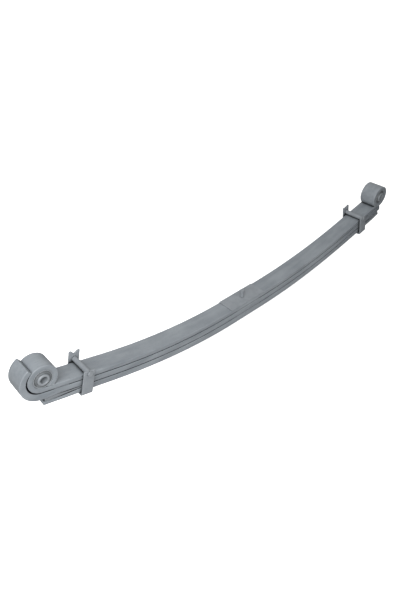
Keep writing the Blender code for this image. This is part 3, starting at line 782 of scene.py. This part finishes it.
def makeClip(side, end):
    gap = springShape["gap"]
    frameOf = clipFrame(side)
    origin, run, across, rising = frameOf
    station = np.array(side * clipShape["station"])
    low = -(float(thirdFace("thirdBottom", station)) + clipShape["thickness"] + clipShape["drop"])
    strap = barPiece(end + "ClipStrap", placed(frameOf, *strapPoints(low)))
    boltAt = origin + clipShape["boltHeight"] * rising
    hole, length = clipShape["boltRadius"] + gap, clipShape["boltHoleLength"]
    drill(strap, end + "BoltHole", hole, length, boltAt, across)
    hole, length = clipShape["rivetRadius"] + gap, clipShape["rivetHoleLength"]
    drill(strap, end + "RivetHole", hole, length, origin + low * rising, rising)
    dress(strap, stripEnamel, "grey_paint", end + "_clip_strap")
    headFace = -(clipShape["nearHalf"] + clipShape["thickness"] + gap)
    headEnd = headFace - clipShape["headHeight"]
    face = clipShape["farHalf"] + clipShape["thickness"] + gap
    faceEnd = face + clipShape["headHeight"]
    shank, apothem = clipShape["boltRadius"], clipShape["headAcross"] / 2
    past = faceEnd + clipShape["boltPast"]
    profile = [
        (apothem * 0.70, headEnd), (apothem * 0.93, headEnd), (apothem * 0.96, headEnd + 0.0001),
        (apothem * fastenerShape["coneMark"], headEnd + 0.0004), (apothem, headFace - 0.0001),
        (apothem * 0.97, headFace), (shank, headFace), (shank, headFace + 0.001), (shank, face),
    ]
    point = fastenerShape["pointStep"]
    height = np.linspace(face + point, past - point, clipShape["threadSteps"])
    profile += [(shank - clipShape["threadDip"] * (i % 2), h) for i, h in enumerate(height)]
    profile += [(shank - point, past), (shank - 2 * point, past)]
    bolt = turnedPiece(end + "ClipBolt", profile, boltAt, across, 48, False, hexShape(apothem, -1))
    dress(bolt, zincPlate, "grey_paint", end + "_clip_bolt")
    profile = nutProfile(shank + gap, apothem, face, faceEnd, 1)
    nut = turnedPiece(end + "ClipNut", profile, boltAt, across, 48, True, hexShape(apothem, 1))
    dress(nut, zincPlate, "grey_paint", end + "_clip_nut")
    tube, bore, lip = clipShape["tubeRadius"], shank + gap, fastenerShape["edgeBreak"]
    band = fastenerShape["supportBand"]
    near, far = -clipShape["nearHalf"] + gap, clipShape["farHalf"] - gap
    profile = [
        (bore, near + lip), (bore + lip, near), (tube - lip, near), (tube, near + lip), (tube, near + band),
        (tube, far - band), (tube, far - lip), (tube - lip, far), (bore + lip, far), (bore, far - lip),
    ]
    spacer = turnedPiece(end + "ClipTube", profile, boltAt, across, fastenerShape["smallSides"], True)
    dress(spacer, stripEnamel, "grey_paint", end + "_clip_spacer_tube")
    # rivet head: a quarter ellipse in the profile, from the crown out to the rim
    turn = np.linspace(clipShape["crownStart"], math.pi / 2, 8)
    head, tall = clipShape["rivetHead"], clipShape["rivetHeadHeight"]
    profile = [(head * math.sin(a), low - gap - tall * math.cos(a)) for a in turn]
    body, top = clipShape["rivetRadius"], low + clipShape["rivetReach"]
    profile += [(body, low - gap), (body, top)]
    rivet = turnedPiece(end + "ClipRivet", profile, origin, rising, fastenerShape["smallSides"])
    dress(rivet, stripEnamel, "grey_paint", end + "_clip_rivet")
    for piece in (strap, bolt, nut, spacer, rivet):
        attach(piece, end + "_half")


padShape = {
    "upper": (0.845, 0.895),
    "lower": (0.768, 0.924),
    "halfWidth": 0.0395,
    "corner": 0.0008,
    "steps": 25,
    "topEase": ((0.77, 0.84, 0.90), (0.0, 0.003, 0.0)),  # the lower pad hangs clear between its ends
    "bottomEase": ((0.77, 0.85, 0.905), (0.0, 0.005, 0.0)),
}


def lowerPadTop(x):
    # the second leaf's lower face, plus a clearance that rises and falls by smoothsteps
    return secondBottom(x) + eased(*padShape["topEase"], x)


def lowerPadBottom(x):
    # the third leaf's upper face, less a clearance of the same kind
    return thirdFace("thirdTop", x) - eased(*padShape["bottomEase"], x)


def makePads(side, end):
    gap = springShape["gap"]
    for level in ("upper", "lower"):
        first, last = padShape[level]
        x = side * np.linspace(first, last, padShape["steps"])
        if level == "upper":
            top, bottom = leafStack["mainThickness"], leafStack["secondTop"]
        else:
            top, bottom = lowerPadTop(x), lowerPadBottom(x)
        tops, lows = belowTop(x, top + gap), belowTop(x, bottom - gap)
        points = barPoints(tops, lows, padShape["halfWidth"], padShape["corner"])
        pad = barPiece(f"{end}TipPad_{level}", points)
        dress(pad, tipPad, "liner_grey", f"{end}_{level}_tip_liner")
        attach(pad, end + "_half")


bushShape = {
    "outerWall": 0.003,
    "outerHalf": 0.039,
    "coreRadius": 0.021,
    "coreBore": 0.0125,
    "coreHalf": 0.0455,
    "rubberHalf": 0.0385,
    "rubberDip": 0.0035,  # the bonded face sinks by this between the two sleeves
    "coreChamfer": 0.003,
    "boreBreak": 0.0012,
    "faceBand": 0.002,
    "wallBand": 0.007,
    "sides": 72,
    "faceSteps": 13,
    "dipPower": 0.7,  # under 1, the dip's floor is flatter and its sides steeper than a sine's
}


def mirrored(profile):
    # one end's profile, then the same on the other end
    return profile + [(radius, -height) for radius, height in profile[::-1]]


def makeBush(side, end):
    gap = springShape["gap"]
    x, z = eyeCentre(side)
    place, across = (x, 0, z), (0, 1, 0)
    outer, half, sides = springShape["boreRadius"] - gap, bushShape["outerHalf"], bushShape["sides"]
    wall = outer - bushShape["outerWall"]
    lip, band = fastenerShape["edgeBreak"], fastenerShape["supportBand"]
    profile = [(wall, half - band), (wall, half - lip), (wall + lip, half)]
    profile += [(outer - lip, half), (outer, half - lip), (outer, half - band)]
    shell = turnedPiece(end + "BushShell", mirrored(profile), place, across, sides, True)
    dress(shell, sleeveSteel, "grey_paint", end + "_bush_outer_sleeve")
    core, bore, coreHalf = bushShape["coreRadius"], bushShape["coreBore"], bushShape["coreHalf"]
    # bonded face: a dip between the sleeves, a power of a sine, which climbs each of them
    share = np.linspace(0, 1, bushShape["faceSteps"])
    radius = core + gap + share * (wall - core - 2 * gap)
    dip = bushShape["rubberDip"] * np.sin(math.pi * share) ** bushShape["dipPower"]
    profile = list(zip(radius, bushShape["rubberHalf"] - dip))
    rubber = turnedPiece(end + "BushRubber", mirrored(profile), place, across, sides, True)
    dress(rubber, bushRubber, "bush_rubber", end + "_bush_rubber")
    rim, boreBreak = bushShape["coreChamfer"], bushShape["boreBreak"]
    profile = [
        (bore, coreHalf - band), (bore, coreHalf - boreBreak), (bore + boreBreak, coreHalf),
        (bore + bushShape["faceBand"], coreHalf), (core - rim - lip, coreHalf), (core - rim, coreHalf),
        (core - rim * 0.5, coreHalf - rim * 0.4),
        (core, coreHalf - rim), (core, coreHalf - rim - lip), (core, coreHalf - bushShape["wallBand"]),
    ]
    innerSleeve = turnedPiece(end + "BushCore", mirrored(profile), place, across, sides, True)
    dress(innerSleeve, sleeveSteel, "grey_paint", end + "_bush_inner_sleeve")
    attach(innerSleeve, end + "_bush_core")
    for piece in (shell, rubber):
        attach(piece, end + "_half")


for side, end in ((-1, "front"), (1, "rear")):
    makeClip(side, end)
    makePads(side, end)
    makeBush(side, end)
print("clips, pads and bushes made")

# the pins and seat liners keep their CAD shape
for name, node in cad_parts.items():
    if node.hide_render:
        continue
    node.data.materials.clear()
    node.data.materials.append(tipPad if "liner" in name and "pin" not in name else zincPlate)

studio = {
    "floorZ": float(cadLow.z) - 0.0005,
    "floorHex": "#f4f4f3",
    "grainHex": "#fafafa",
    "grainScale": 40.0,
    "floorRough": 0.9,
    "floorGlow": 0.80,
    "worldHex": "#ffffff",
    "worldStrength": 0.46,
    "floorHalf": 12.0,
    "floorCells": 48,
    "floorFlat": 6.0,
    "floorRise": 0.05,
}


def makeStudio():
    # floor: a low bowl, flat for 6 m and rising past it with the square of the distance
    cells = studio["floorCells"]
    side = np.linspace(-studio["floorHalf"], studio["floorHalf"], cells + 1)
    x, y = np.meshgrid(side, side)
    z = studio["floorZ"] + studio["floorRise"] * np.maximum(np.hypot(x, y) - studio["floorFlat"], 0) ** 2
    points = np.stack([x, y, z], -1).reshape(-1, 3)
    row, column = np.meshgrid(np.arange(cells), np.arange(cells), indexing="ij")
    first = row * (cells + 1) + column
    faces = np.stack([first, first + 1, first + cells + 2, first + cells + 1], -1).reshape(-1, 4)
    mesh = bpy.data.meshes.new("floor")
    mesh.from_pydata(points.tolist(), [], faces.tolist())
    mesh.shade_smooth()
    floor = bpy.data.objects.new("floor", mesh)
    bpy.context.scene.collection.objects.link(floor)
    # the bright paper shows white but throws no light up at the spring
    floor.visible_diffuse = floor.visible_glossy = False
    made, tree = emptyMaterial("paperFloor")
    place = addNode(tree, "ShaderNodeTexCoord").outputs["Object"]
    grain = addNode(
        tree, "ShaderNodeTexNoise", {"Scale": studio["grainScale"], "Detail": 2.0}, {"Vector": place}
    )
    tint = addNode(
        tree,
        "ShaderNodeMix",
        {"data_type": "RGBA", 6: hexColour(studio["floorHex"]), 7: hexColour(studio["grainHex"])},
        {0: grain.outputs["Fac"]},
    )
    shader = addNode(
        tree,
        "ShaderNodeBsdfPrincipled",
        {
            "Roughness": studio["floorRough"],
            "Emission Color": (1, 1, 1, 1),
            "Emission Strength": studio["floorGlow"],
        },
        {"Base Color": tint.outputs[2]},
    )
    addNode(tree, "ShaderNodeOutputMaterial", links={"Surface": shader.outputs[0]})
    mesh.materials.append(made)

    world = bpy.data.worlds.new("studioAir")
    bpy.context.scene.world = world
    world.use_nodes = True
    air = world.node_tree.nodes["Background"]
    air.inputs["Color"].default_value = hexColour(studio["worldHex"])
    air.inputs["Strength"].default_value = studio["worldStrength"]


softBoxes = {
    "keyBox": {"place": (-1.6, -1.1, 1.7), "aim": (-0.35, 0.0, 0.0), "size": 1.4, "power": 46},
    "sideBox": {"place": (-1.2, -2.2, 0.6), "aim": (-0.4, 0.0, 0.0), "size": 1.6, "power": 11},
    "backBox": {"place": (0.8, 2.4, 1.9), "aim": (0.0, 0.0, 0.0), "size": 2.0, "power": 10},
}


# black card that keeps the room's light off the near side of the rear end
darkCard = {"place": (1.18, -0.34, 0.08), "aim": (0.92, 0.0, 0.12), "half": 0.36, "hex": "#0c0c0c"}


def lookingAt(place, aim):
    # matrix of something that stands at the place, with its back turned away from the aim
    place, aim = np.array(place, float), np.array(aim, float)
    back = (place - aim) / np.linalg.norm(place - aim)
    right = np.cross([0, 0, 1], back)
    right = right / np.linalg.norm(right)
    return Matrix(np.column_stack([right, np.cross(back, right), back, place]).tolist() + [[0, 0, 0, 1]])


def makeLights():
    for name, box in softBoxes.items():
        lamp = bpy.data.lights.new(name, "AREA")
        lamp.shape, lamp.size, lamp.energy = "SQUARE", box["size"], box["power"]
        holder = bpy.data.objects.new(name, lamp)
        holder.matrix_world = lookingAt(box["place"], box["aim"])
        bpy.context.scene.collection.objects.link(holder)
    # a square about the card's middle, turned to face its aim
    turn = np.array(lookingAt(darkCard["place"], darkCard["aim"]))
    corners = np.array([[-1, -1], [1, -1], [1, 1], [-1, 1]]) * darkCard["half"]
    mesh = bpy.data.meshes.new("darkCard")
    mesh.from_pydata((turn[:3, 3] + corners @ turn[:3, :2].T).tolist(), [], [(0, 1, 2, 3)])
    card = bpy.data.objects.new("darkCard", mesh)
    bpy.context.scene.collection.objects.link(card)
    card.visible_camera = False
    made, tree = emptyMaterial("blackFelt")
    felt = addNode(tree, "ShaderNodeBsdfDiffuse", {"Color": hexColour(darkCard["hex"])})
    addNode(tree, "ShaderNodeOutputMaterial", links={"Surface": felt.outputs[0]})
    mesh.materials.append(made)


# right, up and back directions of the camera, then where it stands
cameraPlace = {
    "right": (0.74771, -0.66364, -0.02262),
    "up": (0.42770, 0.45527, 0.78090),
    "back": (-0.50794, -0.59356, 0.62425),
    "place": (-1.2818, -1.2233, 1.3821),
    "lens": 31.231,
    "sensor": 36.0,
    "clip": (0.05, 60.0),
}


def makeCamera():
    lens = bpy.data.cameras.new("camera")
    lens.lens, lens.sensor_width = cameraPlace["lens"], cameraPlace["sensor"]
    lens.clip_start, lens.clip_end = cameraPlace["clip"]
    holder = bpy.data.objects.new("camera", lens)
    columns = [cameraPlace[key] for key in ("right", "up", "back", "place")]
    holder.matrix_world = Matrix(np.column_stack(columns).tolist() + [[0, 0, 0, 1]])
    bpy.context.scene.collection.objects.link(holder)
    bpy.context.scene.camera = holder


makeStudio()
makeLights()
makeCamera()
bpy.context.scene.view_settings.view_transform = "Standard"
print("studio made")
